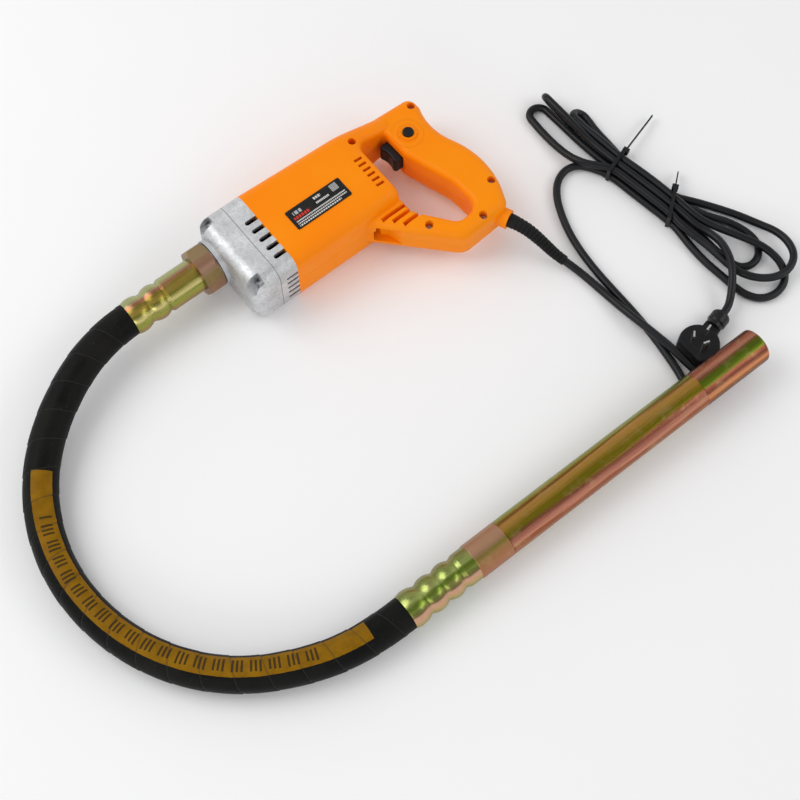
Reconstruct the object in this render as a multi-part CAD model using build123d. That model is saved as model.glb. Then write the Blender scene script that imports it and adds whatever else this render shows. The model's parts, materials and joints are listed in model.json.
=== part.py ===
"""Hand-held electric concrete vibrator: motor tool, flexible shaft and vibrating poker.

Row frame, in millimetres: +X runs along the motor axis towards the handle, +Y is the
tool's own up and +Z is up from the floor. The tool lies on its right-hand side. The
origin is on the flat side of the right housing half, below the motor, at floor level.
The hose leaves along -X, loops round on the floor and ends in the poker, which runs
back along +X. The mains cord leaves the foot of the D handle.
"""
import os
from math import asin, cos, pi, radians, sin, tan

from build123d import *

# ---- motor housing ---------------------------------------------------------------
BODY_HEIGHT = 70.0          # across the two housing halves, floor to upper side
MID = BODY_HEIGHT / 2       # split plane, and height of motor and spindle axes
HOUSING_FRONT = -55.0       # seam between the plastic housing and the bearing bracket
BODY_BOTTOM = -46.0         # lower edge of the motor barrel
BODY_TOP = 52.0             # upper edge at the front
REAR_X = 151.5              # upper rear corner of the handle
REAR_TOP = 43.0
EDGE_RADIUS = 14.0          # rounding along the barrel
BARREL_REAR = 112.0         # where the barrel has run out into the handle
BARREL_SLOPE_START = 60.0
HANDLE_THICKNESS = 42.0
RIM = 10.0                  # rounding of the handle's rims
HANDLE_LOW = MID - HANDLE_THICKNESS / 2
HANDLE_HIGH = MID + HANDLE_THICKNESS / 2
OPENING_FRONT = 69.5        # finger opening, front wall
OPENING_TOP = 24.5
SEAM_GAP = 0.1              # half of the joint line between the housing halves

# ---- gearbox -----------------------------------------------------------------------
MOTOR_Y = -6.0
SPINDLE_Y = 21.0
MODULE = 1.0
PINION_TEETH = 8
GEAR_TEETH = 46
COVER_SEAM = -75.0          # seam between bearing bracket and gear cover
COVER_FRONT = -104.0
NECK_FRONT = -122.0
COVER_SCREWS = [(y, z) for y in (-37.0, 42.5) for z in (13.5, 56.5)]

# ---- hose and poker --------------------------------------------------------------
HOSE_RADIUS = 16.5
POKER_RADIUS = 17.5
POKER_YAW = -1.0            # degrees, seen from above
POKER_TILT = 1.6            # degrees, the tip lies on the mains cord and plug
POKER_START = Vector(-176.0, -358.0, 17.4)
FERRULE_START = -122.4
FERRULE_LENGTH = 82.0
FERRULE_END = FERRULE_START - FERRULE_LENGTH

# ---- mains cord ---------------------------------------------------------------------
CORD_RADIUS = 3.9
CORD_HEIGHT = 4.0           # centre of a cord lying on the floor
COLLAR_END = Vector(144.0, -120.0, MID)
COLLAR_DIRECTION = Vector(0.404, -0.9148, 0.0)
PLUG_CENTRE = Vector(206.5, -327.0, 0.0)
PLUG_HEIGHT = 15.0
PLUG_RADIUS = 20.0
PLUG_FLAT = -14.0           # flat side, from the plug's centre along X
BOOT_ANGLE = 13.0
BOOT_HEIGHT = 9.8           # centre of the boot above the floor
BOOT_END = 42.0             # from the plug's centre

POKER_DIRECTION = Vector(
    cos(radians(POKER_YAW)) * cos(radians(POKER_TILT)),
    sin(radians(POKER_YAW)) * cos(radians(POKER_TILT)),
    sin(radians(POKER_TILT)),
)
BOOT_DIRECTION = Vector(cos(radians(BOOT_ANGLE)), sin(radians(BOOT_ANGLE)), 0)
BOOT_TIP = PLUG_CENTRE + BOOT_DIRECTION * BOOT_END + Vector(0, 0, BOOT_HEIGHT)

# Route of the hose, from the rear ferrule to the poker ferrule.
HOSE_ROUTE = [
    (FERRULE_END, SPINDLE_Y, 35.0),
    (-230.0, SPINDLE_Y, 35.0),
    (-261.6, 16.0, 34.2),
    (-295.6, 4.3, 32.0),
    (-328.5, -14.7, 28.0),
    (-356.7, -40.1, 23.5),
    (-379.1, -72.0, 19.5),
    (-393.8, -110.3, 17.2),
    (-399.0, -153.0, 16.6),
    (-393.4, -198.7, 16.6),
    (-376.9, -242.7, 16.6),
    (-350.3, -281.4, 16.6),
    (-316.4, -312.5, 16.6),
    (-278.5, -334.8, 16.6),
    (-242.0, -350.3, 16.6),
    tuple(POKER_START - POKER_DIRECTION * 28.0),
    tuple(POKER_START),
]

# Route of the strain relief, from the handle's collar down to the floor.
RELIEF_ROUTE = [
    tuple(COLLAR_END),
    tuple(COLLAR_END + COLLAR_DIRECTION * 11),
    (153.5, -142.0, 31.0),
    (159.5, -156.5, 21.0),
    (163.8, -168.0, 12.6),
    (167.8, -178.3, 8.8),
]

# Route of the mains cord: down beside itself, over its own return, round a tight fold
# under the poker, back up the other side and into the hank.
LEAD_ROUTE = [
    RELIEF_ROUTE[-1],
    (172.6, -190.7, 4.25),
    (174.8, -208.0, CORD_HEIGHT),
    (176.6, -230.0, 4.4),
    (177.0, -252.0, 8.2),
    (178.4, -273.0, 11.8),
    (181.4, -295.0, 12.2),
    (184.2, -312.0, 10.6),
    (186.1, -328.0, 7.2),
    (187.6, -343.0, 4.9),
    (192.0, -356.0, CORD_HEIGHT),
    (187.5, -368.5, CORD_HEIGHT),
    (175.5, -370.0, CORD_HEIGHT),
    (168.5, -359.0, CORD_HEIGHT),
    (171.5, -346.0, CORD_HEIGHT),
    (175.8, -331.0, CORD_HEIGHT),
    (178.8, -313.0, CORD_HEIGHT),
    (181.6, -295.0, CORD_HEIGHT),
    (183.8, -273.0, CORD_HEIGHT),
    (184.9, -250.0, CORD_HEIGHT),
    (185.4, -226.0, CORD_HEIGHT),
    (186.4, -203.0, CORD_HEIGHT),
    (189.0, -180.0, CORD_HEIGHT),
    (193.8, -157.0, CORD_HEIGHT),
    (202.0, -135.0, CORD_HEIGHT),
    (211.5, -117.0, CORD_HEIGHT),
    (223.5, -104.0, CORD_HEIGHT),
    (237.5, -98.5, CORD_HEIGHT + 0.2),
    (250.5, -101.0, CORD_HEIGHT + 0.8),
    (260.0, -110.5, CORD_HEIGHT + 1.8),
]

# Route of the cord's last stretch, from the hank to the plug's boot.
TAIL_ROUTE = [
    (284.5, -288.5, 12.4),
    (276.6, -299.4, 10.8),
    (267.6, -308.8, 9.8),
    tuple(BOOT_TIP + BOOT_DIRECTION * 10.0),
    tuple(BOOT_TIP),
]

# Outline of the tied hank, seen from above, in the stretches between its two ties.
HANK_HEIGHT = 16.5
HANK_TOP = [(251, -102), (243.5, -80), (246, -60), (251, -34), (262, -21), (282, -17.5),
            (289.5, -30), (291.5, -88), (295.5, -112)]
HANK_RIGHT = [(301.5, -138), (305.5, -165)]
HANK_LOW = [(313.5, -200), (325.5, -222), (351, -275), (356, -298), (348, -318), (334, -328),
            (300, -336), (283, -326), (277, -300), (272.5, -262), (277, -232)]
HANK_LEFT = [(274, -185), (268, -152)]

# Cable ties: centre of the band, its angle, its width across the hank, its tail.
TIES = {
    "cable_tie_upper": ((281.4, -127.5), 17.0, 33.0, 52.0, 5.0),
    "cable_tie_lower": ((291.5, -198.0), 37.0, 39.0, 19.0, 18.0),
}


# ---- helpers ----------------------------------------------------------------------
def box(x0, x1, y0, y1, z0, z1):
    """A box between two corners."""
    size = Box(x1 - x0, y1 - y0, z1 - z0)
    return Pos((x0 + x1) / 2, (y0 + y1) / 2, (z0 + z1) / 2) * size


def axis_plane(start, direction):
    """A plane at start whose local Z points along direction."""
    return Plane(origin=start, z_dir=direction)


def along_x(x, y=MOTOR_Y, z=MID):
    """A plane at a point whose local Z is the row's +X and local X is the row's +Y."""
    return Plane(origin=(x, y, z), x_dir=(0, 1, 0), z_dir=(1, 0, 0))


def rod(radius, length):
    """A cylinder that starts at the origin and runs along +Z."""
    return Cylinder(radius, length, align=(Align.CENTER, Align.CENTER, Align.MIN))


def rod_x(x0, x1, radius, y=MOTOR_Y, z=MID):
    """A cylinder along X."""
    return along_x(x0, y, z) * rod(radius, x1 - x0)


def ring_x(x0, x1, outer, inner, y=MOTOR_Y, z=MID):
    """A plain ring along X."""
    return rod_x(x0, x1, outer, y, z) - rod_x(x0 - 1, x1 + 1, inner, y, z)


def rod_z(x, y, z0, z1, radius):
    """An upright cylinder."""
    return Pos(x, y, z0) * rod(radius, z1 - z0)


def turned(profile):
    """A solid turned about local Z from (distance along it, radius) points."""
    outline = Polyline(*[(radius, 0, along) for along, radius in profile], close=True)
    return revolve(make_face(outline), Axis.Z)


def prism(points, z0, z1, rounding=None):
    """A flat polygon raised from z0 to z1; rounding gives a radius for each corner."""
    face = make_face(Polyline(*[(x, y, z0) for x, y in points], close=True))
    for (x, y), radius in (rounding or {}).items():
        corner = face.vertices().sort_by_distance((x, y, z0))[0]
        face = fillet(corner, radius)
    return extrude(face, z1 - z0, dir=(0, 0, 1))


def corner_radii(points):
    """The largest arc that each corner of a route allows."""
    radii = []
    for before, here, after in zip(points, points[1:], points[2:]):
        first = Vector(*here) - Vector(*before)
        second = Vector(*after) - Vector(*here)
        half_turn = radians(first.get_angle(second)) / 2
        radii.append(0.45 * min(first.length, second.length) / tan(half_turn))
    return radii


def tube(points, outer, inner=None):
    """A round tube along straight runs joined by tangent arcs."""
    path = FilletPolyline(*points, radius=corner_radii(points))
    section = Circle(outer)
    if inner:
        section -= Circle(inner)
    start = Plane(origin=path @ 0, z_dir=path % 0)
    return sweep(start * section, path=path), path


def body_top(x):
    """Height of the housing's upper edge, which falls towards the handle."""
    slope = (REAR_TOP - BODY_TOP) / (REAR_X - HOUSING_FRONT)
    return BODY_TOP + slope * (x - HOUSING_FRONT)


# ---- motor housing halves -----------------------------------------------------------
HOUSING_SCREWS = [(143.3, 31.5, 46.0), (67.5, 28.5, 54.0), (150.5, -83.5, 46.0),
                  (119.5, -108.3, 46.0), (72.5, -84.5, 46.0)]
SCREW_RADIUS = 1.7
LOCK_BUTTON = (121.0, 8.0)
LOCK_RADIUS = 5.5


def barrel():
    """The motor barrel, which thins into the handle."""
    plan = prism(
        [(HOUSING_FRONT, BODY_BOTTOM), (BARREL_REAR, BODY_BOTTOM),
         (BARREL_REAR, body_top(BARREL_REAR)), (HOUSING_FRONT, BODY_TOP)],
        0, BODY_HEIGHT,
    )
    side = make_face(Plane.XZ * Polyline(
        (HOUSING_FRONT - 1, 0), (BARREL_SLOPE_START, 0), (BARREL_REAR + 4, HANDLE_LOW),
        (BARREL_REAR + 4, HANDLE_HIGH), (BARREL_SLOPE_START, BODY_HEIGHT),
        (HOUSING_FRONT - 1, BODY_HEIGHT), close=True))
    bends = [v for v in side.vertices() if abs(v.X - BARREL_SLOPE_START) < 0.1]
    side = fillet(bends, 90)
    solid = plan & extrude(side, 120, both=True)
    long_edges = [
        e for e in solid.edges()
        if e.bounding_box().size.X > 1 and abs(e.center().Z - MID) > 10
    ]
    solid = fillet(long_edges, EDGE_RADIUS)
    gap = prism(
        [(OPENING_FRONT, -60), (130, -60), (130, OPENING_TOP), (OPENING_FRONT, OPENING_TOP)],
        -5, BODY_HEIGHT + 5, {(OPENING_FRONT, OPENING_TOP): 12},
    )
    solid -= gap
    rims = [
        e for e in solid.edges()
        if e.center().X > OPENING_FRONT - 0.5 and -30 < e.center().Y < OPENING_TOP + 0.5
        and abs(e.center().Z - MID) > 15 and e.center().X < BARREL_REAR - 0.5
    ]
    return fillet(rims, 6)


def handle_plate():
    """The flat D-shaped handle around the finger opening."""
    upper = (153.0, -22.0)
    lower = (153.0, -100.0)
    bulge = 8.5
    half = (upper[1] - lower[1]) / 2
    radius = (half * half + bulge * bulge) / (2 * bulge)
    lean = asin(half / radius)
    corner = Vector(REAR_X, REAR_TOP)
    edges = [
        Line((40, body_top(40)), corner),
        Line(corner, (REAR_X, 27)),
        TangentArc(upper, (REAR_X, 27), tangent=(-sin(lean), cos(lean))),
        ThreePointArc(upper, (upper[0] + bulge, (upper[1] + lower[1]) / 2), lower),
        Polyline(lower, (147, -113), (92, -116.5), (26, BODY_BOTTOM), (26, -30), (40, -30),
                 (40, body_top(40))),
    ]
    face = make_face(edges)
    for point, size in (((REAR_X, REAR_TOP), RIM + 0.5), ((147, -113), RIM + 0.5), ((92, -116.5), 18)):
        nearest = face.vertices().sort_by_distance((*point, 0))[0]
        face = fillet(nearest, size)
    solid = extrude(Pos(0, 0, HANDLE_LOW) * face, HANDLE_THICKNESS)
    rims = [
        e for e in solid.edges()
        if e.bounding_box().size.Z < 0.01 and (e.center().X > 41 or e.center().Y < -47)
    ]
    solid = fillet(rims, RIM)
    opening = prism(
        [(OPENING_FRONT, OPENING_TOP), (OPENING_FRONT, -62), (98, -99), (123, -97),
         (121, -60), (104, -8), (103.5, OPENING_TOP)],
        -5, BODY_HEIGHT + 5,
        {(OPENING_FRONT, OPENING_TOP): 12, (OPENING_FRONT, -62): 25, (98, -99): 12,
         (123, -97): 14, (121, -60): 40, (103.5, OPENING_TOP): 5},
    )
    solid -= opening
    tops = [f for f in solid.faces() if f.is_planar and abs(f.normal_at().Z) > 0.99]
    rims = [e for f in tops for w in f.inner_wires() for e in w.edges()]
    return fillet(rims, 6)


def housing_cavity():
    """The hollow inside the two housing halves."""
    hollow = rod_x(HOUSING_FRONT - 1, 25, 31.8)
    hollow += box(HOUSING_FRONT - 1, 62, 26, 44, 21, 49)
    hollow += box(24, 62, -38, 36, 9, 61)
    hollow += box(27, 39, -14, 2, 4, 66)
    hollow += box(60, 114, 31.5, 39.5, 27, 43)
    hollow += box(108, 141, -12, 27, 22, 48)
    hollow += box(106, 116, 20, 39.5, 27, 43)
    hollow += box(128, 140, -102, -10, 29, 41)
    hollow += box(127, 148, -108, -90, 27, 47)
    return hollow


def bearing_rib():
    """The wall across the barrel that holds the armature's rear bearing."""
    rib = box(46, 53, -24, 12, 3, 67)
    return rib - rod_x(45, 54, 11.02) - box(45, 54, -4, 12, 3, 16)


def side_vents():
    """Rows of cooling slots, cut through both halves alike."""
    cuts = []
    for low, high in ((-1, 12), (58, 71)):
        for k in range(6):
            y = 8.0 - 6.9 * k
            cuts.append(box(54.5, 63.5, y - 1.5, y + 1.5, low, high))
    for low, high in ((HANDLE_LOW - 1, 23), (47, HANDLE_HIGH + 1)):
        for x0, x1, y in ((40, 68, -53), (47.5, 71.5, -60.5), (54, 75.5, -69)):
            cuts.append(box(x0, x1, y - 2.1, y + 2.1, low, high))
    return cuts


def air_scoop():
    """The outlet in the slanted lower wall: a ramp that deepens towards its duct from the motor space."""
    wedge = prism([(-14, -9), (17, -9), (17, -2.5), (-3, 8), (-14, 8)], MID - 9.5, MID + 13.5)
    mouth = Pos(41.5, -63.5, 0) * Rot(0, 0, -45.9) * wedge
    duct = box(31, 40, -58, -37, 26, 42)
    return mouth + duct


def screw_bores(x, y, seat):
    """Recess, clearance hole and pilot hole of one housing screw."""
    recess = rod_z(x, y, seat, BODY_HEIGHT + 1, 4.1)
    return recess + rod_z(x, y, 14, seat + 1, SCREW_RADIUS + 0.05)


def collar():
    """The round boss that the mains cord leaves by."""
    start = COLLAR_END - COLLAR_DIRECTION * 16
    return axis_plane(start, COLLAR_DIRECTION) * rod(9.8, 16)


def housing():
    """Both halves as one shell, before they are parted."""
    solid = barrel() + handle_plate() + collar()
    solid += rod_z(*LOCK_BUTTON, HANDLE_HIGH - 2, HANDLE_HIGH + 1.2, 8.6)
    solid -= housing_cavity()
    solid += bearing_rib()
    for cut in side_vents():
        solid -= cut
    solid -= air_scoop()
    for x, y, seat in HOUSING_SCREWS:
        solid -= screw_bores(x, y, seat)
    for y, z in COVER_SCREWS:
        solid -= rod_x(HOUSING_FRONT - 1, -34, 2.45, y, z)
    solid -= box(96, 112, -5.7, 20.7, 25, 45)
    solid -= rod_z(*LOCK_BUTTON, 44, HANDLE_HIGH + 3, LOCK_RADIUS + 0.3)
    lead_hole = axis_plane(COLLAR_END + COLLAR_DIRECTION, -COLLAR_DIRECTION) * rod(4.1, 26)
    return solid - lead_hole


def housing_halves():
    """Left (upper) and right (lower) housing halves."""
    whole = housing()
    left = whole & box(-60, 200, -150, 80, MID + SEAM_GAP, 90)
    right = whole & box(-60, 200, -150, 80, -5, MID - SEAM_GAP)
    return {"left_housing": left, "right_housing": right}


def housing_screws():
    """Self-tapping screws that hold the two halves together."""
    screws = []
    for x, y, seat in HOUSING_SCREWS:
        head = rod_z(x, y, seat, seat + 2.4, 3.2)
        cross = box(x - 1.9, x + 1.9, y - 0.4, y + 0.4, seat + 1.2, seat + 3)
        cross += box(x - 0.4, x + 0.4, y - 1.9, y + 1.9, seat + 1.2, seat + 3)
        screws.append(head + rod_z(x, y, 16, seat, SCREW_RADIUS) - cross)
    return Compound(children=screws)


def nameplate():
    """The thin plate on the upper side of the barrel."""
    plate = box(-32.5, 31, -19.5, 3.5, BODY_HEIGHT, BODY_HEIGHT + 0.6)
    return fillet(plate.edges().filter_by(Axis.Z), 1.5)


# ---- gearbox castings ---------------------------------------------------------------
def casting_block(x0, x1):
    """A slice of the gearbox's rounded outline."""
    block = box(x0, x1, BODY_BOTTOM, BODY_TOP, 0, BODY_HEIGHT)
    return fillet(block.edges().filter_by(Axis.X), EDGE_RADIUS)


def bearing_bracket():
    """The slotted casting between the housing and the gear cover."""
    solid = casting_block(COVER_SEAM, HOUSING_FRONT)
    inside = box(-66, HOUSING_FRONT + 1, BODY_BOTTOM + 4, BODY_TOP - 4, 4, BODY_HEIGHT - 4)
    solid -= fillet(inside.edges().filter_by(Axis.X), 10)
    for y, z in COVER_SCREWS:
        solid += rod_x(-66, HOUSING_FRONT, 6.0, y, z)
    solid &= casting_block(COVER_SEAM, HOUSING_FRONT)
    for y, z in COVER_SCREWS:
        solid -= rod_x(COVER_SEAM - 1, HOUSING_FRONT + 1, 2.45, y, z)
    solid -= rod_x(-74, -60, 13.02) + rod_x(-80, -60, 6.5)
    solid -= rod_x(-80, -68, 11.02, SPINDLE_Y)
    for k in range(5):
        y = -5.8 + 11.3 * (k - 2)
        for low, high in ((-1, 8), (62, 71)):
            slot = box(-66, HOUSING_FRONT + 1, y - 2.4, y + 2.4, low, high)
            slot += rod_z(-66, y, low, high, 2.4)
            solid -= slot
    for k in range(5):
        z = MID + 8.6 * (k - 2)
        solid -= box(-68, HOUSING_FRONT + 1, BODY_BOTTOM - 1, BODY_BOTTOM + 6, z - 1.7, z + 1.7)
    return solid


def gear_cover():
    """The nose casting, with the threaded neck that the hose is screwed to."""
    solid = casting_block(COVER_FRONT, COVER_SEAM)
    front = solid.faces().sort_by(Axis.X)[0]
    solid = fillet(front.edges(), 12.5)
    solid += rod_x(-108, -98, 24.0, SPINDLE_Y)
    solid += rod_x(NECK_FRONT, -108, 19.9, SPINDLE_Y)
    solid -= rod_x(-95, COVER_SEAM + 1, 25.2, SPINDLE_Y)
    solid -= rod_x(-95, COVER_SEAM + 1, 9.0)
    solid -= rod_x(-106, -90, 16.02, SPINDLE_Y)
    solid -= rod_x(NECK_FRONT - 1, -100, 13.0, SPINDLE_Y)
    for y, z in COVER_SCREWS:
        solid -= rod_x(-120, -90, 5.6, y, z)
        outward = BODY_HEIGHT + 1 if z > MID else -1
        solid -= box(-120, -90, y - 5.6, y + 5.6, *sorted((z, outward)))
        solid -= rod_x(-100, COVER_SEAM + 1, 2.45, y, z)
    return solid


def cover_screws():
    """Four long screws through cover and bracket into the housing."""
    screws = []
    for y, z in COVER_SCREWS:
        head = rod_x(-94, -90, 4.4, y, z) - rod_x(-95, -92, 2.0, y, z)
        screws.append(head + rod_x(-90, -35, 2.4, y, z))
    return Compound(children=screws)


def nut():
    """The hexagonal coupling nut that draws the hose ferrule against the neck."""
    across_flats = 46.0
    length = 18.8
    place = along_x(-128, SPINDLE_Y)
    hexagon = RegularPolygon(across_flats / 2, 6, major_radius=False)
    solid = extrude(place * hexagon, length)
    profile = [(0, 0), (0, 23.5), (3.2, 27), (15.6, 27), (length, 24.2), (length, 0)]
    solid &= place * turned(profile)
    solid -= rod_x(-124.6, -105, 20.0, SPINDLE_Y)
    return solid - rod_x(-130, -120, 17.25, SPINDLE_Y)


# ---- motor ---------------------------------------------------------------------------
STACK_FRONT = -40.0
STACK_REAR = 12.0


def stator_core():
    """The laminated field stack."""
    core = ring_x(STACK_FRONT, STACK_REAR, 31.6, 19.6)
    for side in (-1, 1):
        pocket = box(STACK_FRONT - 1, STACK_REAR + 1, MOTOR_Y - 15, MOTOR_Y + 15,
                     MID + side * 23 - 4, MID + side * 23 + 4)
        core -= pocket
    return core


def field_coils():
    """Two coils: bars in the stack's pockets, joined by end turns."""
    bars = []
    for side in (-1, 1):
        bar = box(-50, 22, MOTOR_Y - 14.5, MOTOR_Y + 14.5,
                  MID + side * 23 - 3.5, MID + side * 23 + 3.5)
        bar -= rod_x(-60, 30, 20.3)
        bar &= rod_x(-60, 30, 31.0)
        bars.append(bar)
    ends = ring_x(-50, STACK_FRONT - 0.2, 29.5, 20.5) + ring_x(STACK_REAR + 0.2, 22, 29.5, 20.5)
    return ends + bars[0] + bars[1]


def armature_shaft():
    """The motor shaft, with the pinion cut on its front end."""
    shaft = rod_x(-83, -64, 4.98) + rod_x(-64, 45, 6.0) + rod_x(45, 54, 3.98)
    teeth = along_x(-94) * Rot(0, 0, 180 / PINION_TEETH) * toothed_wheel(PINION_TEETH, 11)
    return shaft + teeth


def armature_core():
    """The slotted armature stack."""
    core = ring_x(STACK_FRONT, STACK_REAR, 18.9, 6.0)
    for k in range(12):
        slot = Pos(16.5, 0, 0) * Box(6, 2.2, 60)
        core -= along_x(STACK_FRONT + 26) * Rot(0, 0, 30 * k) * slot
    return core


def armature_windings():
    """Wire heads on both ends of the armature stack."""
    front = along_x(-48) * turned([(0, 6), (0, 11), (3, 16.5), (8, 16.5), (8, 6)])
    rear = along_x(STACK_REAR) * turned([(0, 6), (0, 16.5), (5, 16.5), (10, 11), (10, 6)])
    return Compound(children=[front, rear])


def commutator():
    """The copper commutator, cut into bars."""
    solid = ring_x(24, 42, 13.0, 6.0)
    for k in range(24):
        slit = Pos(12.6, 0, 0) * Box(2, 0.5, 14)
        solid -= along_x(34) * Rot(0, 0, 15 * k) * slit
    return solid


def cooling_fan():
    """The radial fan behind the bearing bracket."""
    fan = ring_x(-58.5, -57, 28.5, 6.0) + ring_x(-64, -57, 9.0, 6.0)
    for k in range(9):
        blade = Pos(18.5, 0, 0) * Rot(0, 0, 14) * Box(20, 1.4, 5.5)
        fan += along_x(-61.2) * Rot(0, 0, 40 * k) * blade
    return fan


def bearing_races(x0, x1, outer, bore, y):
    """Outer and inner ring of one sealed ball bearing, with running room between."""
    middle = (outer + bore) / 2
    return ring_x(x0, x1, outer, middle + 0.05, y), ring_x(x0, x1, middle - 0.05, bore, y)


def brush_parts():
    """Brushes, their springs and holders, above and below the commutator."""
    brushes, springs, holders = {}, {}, []
    for name, side in (("upper", 1), ("lower", -1)):
        def span(near, far):
            return sorted((MID + side * near, MID + side * far))
        z0, z1 = span(13.3, 22.3)
        brushes[name] = box(30, 36, -11, -1, z0, z1)
        z0, z1 = span(22.4, 29.4)
        coil = rod_z(33, MOTOR_Y, z0, z1, 2.6) - rod_z(33, MOTOR_Y, z0 - 1, z1 + 1, 1.8)
        springs[name] = coil
        z0, z1 = span(14.6, 30.8)
        cavity = span(14.0, 29.5)
        tube_wall = box(28.6, 37.4, -12.4, 0.4, z0, z1)
        holders.append(tube_wall - box(29.9, 36.1, -11.1, -0.9, *cavity))
    return brushes, springs, Compound(children=holders)


# ---- reduction gear --------------------------------------------------------------------
def toothed_wheel(teeth, width, backlash=0.32):
    """A spur wheel with slim straight-flanked teeth, from z = 0 up."""
    pitch = MODULE * teeth / 2
    root = pitch - 1.15 * MODULE
    tip = pitch + 0.85 * MODULE
    half = pi * MODULE / 4 - backlash
    wheel = rod(root, width)
    flank = tan(radians(20))
    base = half + flank * (pitch - root)
    crest = half - flank * (tip - pitch)
    for k in range(teeth):
        tooth = prism([(root - 0.4, -base), (tip, -crest), (tip, crest), (root - 0.4, base)],
                      0, width)
        wheel += Rot(0, 0, 360 * k / teeth) * tooth
    return wheel


def drive_gear():
    """The large wheel on the spindle."""
    wheel = along_x(-93, SPINDLE_Y) * toothed_wheel(GEAR_TEETH, 9.5)
    wheel -= rod_x(-94, -82, 7.5, SPINDLE_Y)
    for k in range(6):
        hole = Pos(14.2, 0, 0) * Cylinder(3.2, 40)
        wheel -= along_x(-88, SPINDLE_Y) * Rot(0, 0, 60 * k) * hole
    return wheel


def spindle():
    """The output spindle, with a square socket for the flexible shaft."""
    profile = [(0, 0), (0, 3.98), (7, 3.98), (7, 7.5), (30.5, 7.5), (44, 7.5), (44, 0)]
    solid = Plane(origin=(-68.4, SPINDLE_Y, MID), x_dir=(0, 1, 0), z_dir=(-1, 0, 0)) * turned(profile)
    socket = box(-113, -100, SPINDLE_Y - 4.2, SPINDLE_Y + 4.2, MID - 4.2, MID + 4.2)
    return solid - socket


# ---- hose, ferrules and flexible shaft --------------------------------------------------
CORE_RADIUS = 6.0
LINER_RADIUS = 9.0


def bulged_profile(stations, bore):
    """A turned ferrule from (distance, radius, bulge) stations; bulge rounds the span."""
    edges = []
    for (s0, r0, _), (s1, r1, bulge) in zip(stations, stations[1:]):
        start, end = (r0, 0, s0), (r1, 0, s1)
        if bulge:
            crown = ((r0 + r1) / 2 + bulge, 0, (s0 + s1) / 2)
            edges.append(ThreePointArc(start, crown, end))
        else:
            edges.append(Line(start, end))
    first, last = stations[0], stations[-1]
    edges.append(Polyline((last[1], 0, last[0]), (bore, 0, last[0]), (bore, 0, first[0]),
                          (first[1], 0, first[0])))
    return revolve(make_face(edges), Axis.Z)


def rear_ferrule():
    """The steel ferrule pressed on the tool end of the hose."""
    stations = [
        (0, 19.6, 0), (2.2, 19.6, 0), (2.2, 17.1, 0), (41, 17.1, 0), (44, 15.2, 0),
        (62, 15.2, 2.6), (64.5, 15.2, 0), (FERRULE_LENGTH, 16.4, 2.0),
    ]
    place = Plane(origin=(FERRULE_START, SPINDLE_Y, MID), x_dir=(0, 1, 0), z_dir=(-1, 0, 0))
    return place * bulged_profile(stations, LINER_RADIUS)


def on_poker(distance):
    """A plane on the poker's axis, at a distance from the hose's end."""
    return axis_plane(POKER_START + POKER_DIRECTION * distance, POKER_DIRECTION)


def poker_ferrule():
    """The steel ferrule pressed on the poker end of the hose."""
    stations = [
        (0, 16.6, 0), (18, 15.0, 2.0), (20, 15.0, 0), (37, 15.0, 2.5), (39, 15.0, 0),
        (56, 15.0, 2.5), (58, 15.0, 0), (62, 16.8, 0), (74, 16.8, 0),
    ]
    return on_poker(0) * bulged_profile(stations, LINER_RADIUS)


def poker_connector():
    """The threaded sleeve between the ferrule and the vibrating tube."""
    profile = [(74, 10), (74, POKER_RADIUS - 0.4), (74.6, POKER_RADIUS), (109.6, POKER_RADIUS),
               (110, POKER_RADIUS - 0.4), (110, 14.9), (124, 14.9), (124, 12), (100, 12), (100, 10)]
    return on_poker(0) * turned(profile)


def poker_tube():
    """The long outer tube of the poker."""
    profile = [(110, 15.0), (110, POKER_RADIUS - 0.4), (110.4, POKER_RADIUS),
               (340.6, POKER_RADIUS), (341, POKER_RADIUS - 0.4), (341, 14.0), (126, 14.0),
               (126, 15.0)]
    return on_poker(0) * turned(profile)


def poker_tip():
    """The solid closing plug of the poker, screwed into the tube."""
    profile = [(325, 0), (325, 13.9), (341, 13.9), (341, POKER_RADIUS - 0.4),
               (341.4, POKER_RADIUS), (417, POKER_RADIUS), (419, 0)]
    solid = turned(profile)
    rim = solid.edges().filter_by(GeomType.CIRCLE).sort_by(Axis.Z)
    outer = [e for e in rim if abs(e.radius - POKER_RADIUS) < 0.01][-1:]
    return on_poker(0) * fillet(outer, 3.5)


def eccentric_rotor():
    """The out-of-balance weight on its shaft."""
    shaft = turned([(127, 0), (127, 5.98), (152, 5.98), (152, 7), (298, 7), (298, 5.98),
                    (316, 5.98), (316, 0)])
    weight = Pos(0, 0, 160) * rod(12.4, 130)
    weight &= box(-20, 20, -20, 2.0, 150, 300)
    socket = Pos(0, 0, 127) * Box(5.4, 5.4, 24)
    return on_poker(0) * (shaft + weight - socket)


def drive_fitting():
    """The square driver that joins the flexible core to the spindle."""
    tongue = box(-112.6, -102, SPINDLE_Y - 4.15, SPINDLE_Y + 4.15, MID - 4.15, MID + 4.15)
    return tongue + rod_x(-118, -112.6, 6.4, SPINDLE_Y)


def rotor_fitting():
    """The square driver that joins the flexible core to the eccentric rotor."""
    tongue = Pos(0, 0, 132) * Box(5.36, 5.36, 12)
    return on_poker(0) * (tongue + turned([(120.4, 0), (120.4, 6.0), (126.8, 6.0), (126.8, 0)]))


def poker_races(start, length):
    """Outer and inner ring of one poker bearing."""
    outer = turned([(start, 10.05), (start, 13.95), (start + length, 13.95), (start + length, 10.05)])
    inner = turned([(start, 6.0), (start, 9.95), (start + length, 9.95), (start + length, 6.0)])
    return on_poker(0) * outer, on_poker(0) * inner


def poker_seal():
    """The oil seal ahead of the first poker bearing."""
    return on_poker(0) * turned([(127, 6.6), (127, 13.9), (133, 13.9), (133, 6.6)])


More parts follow.
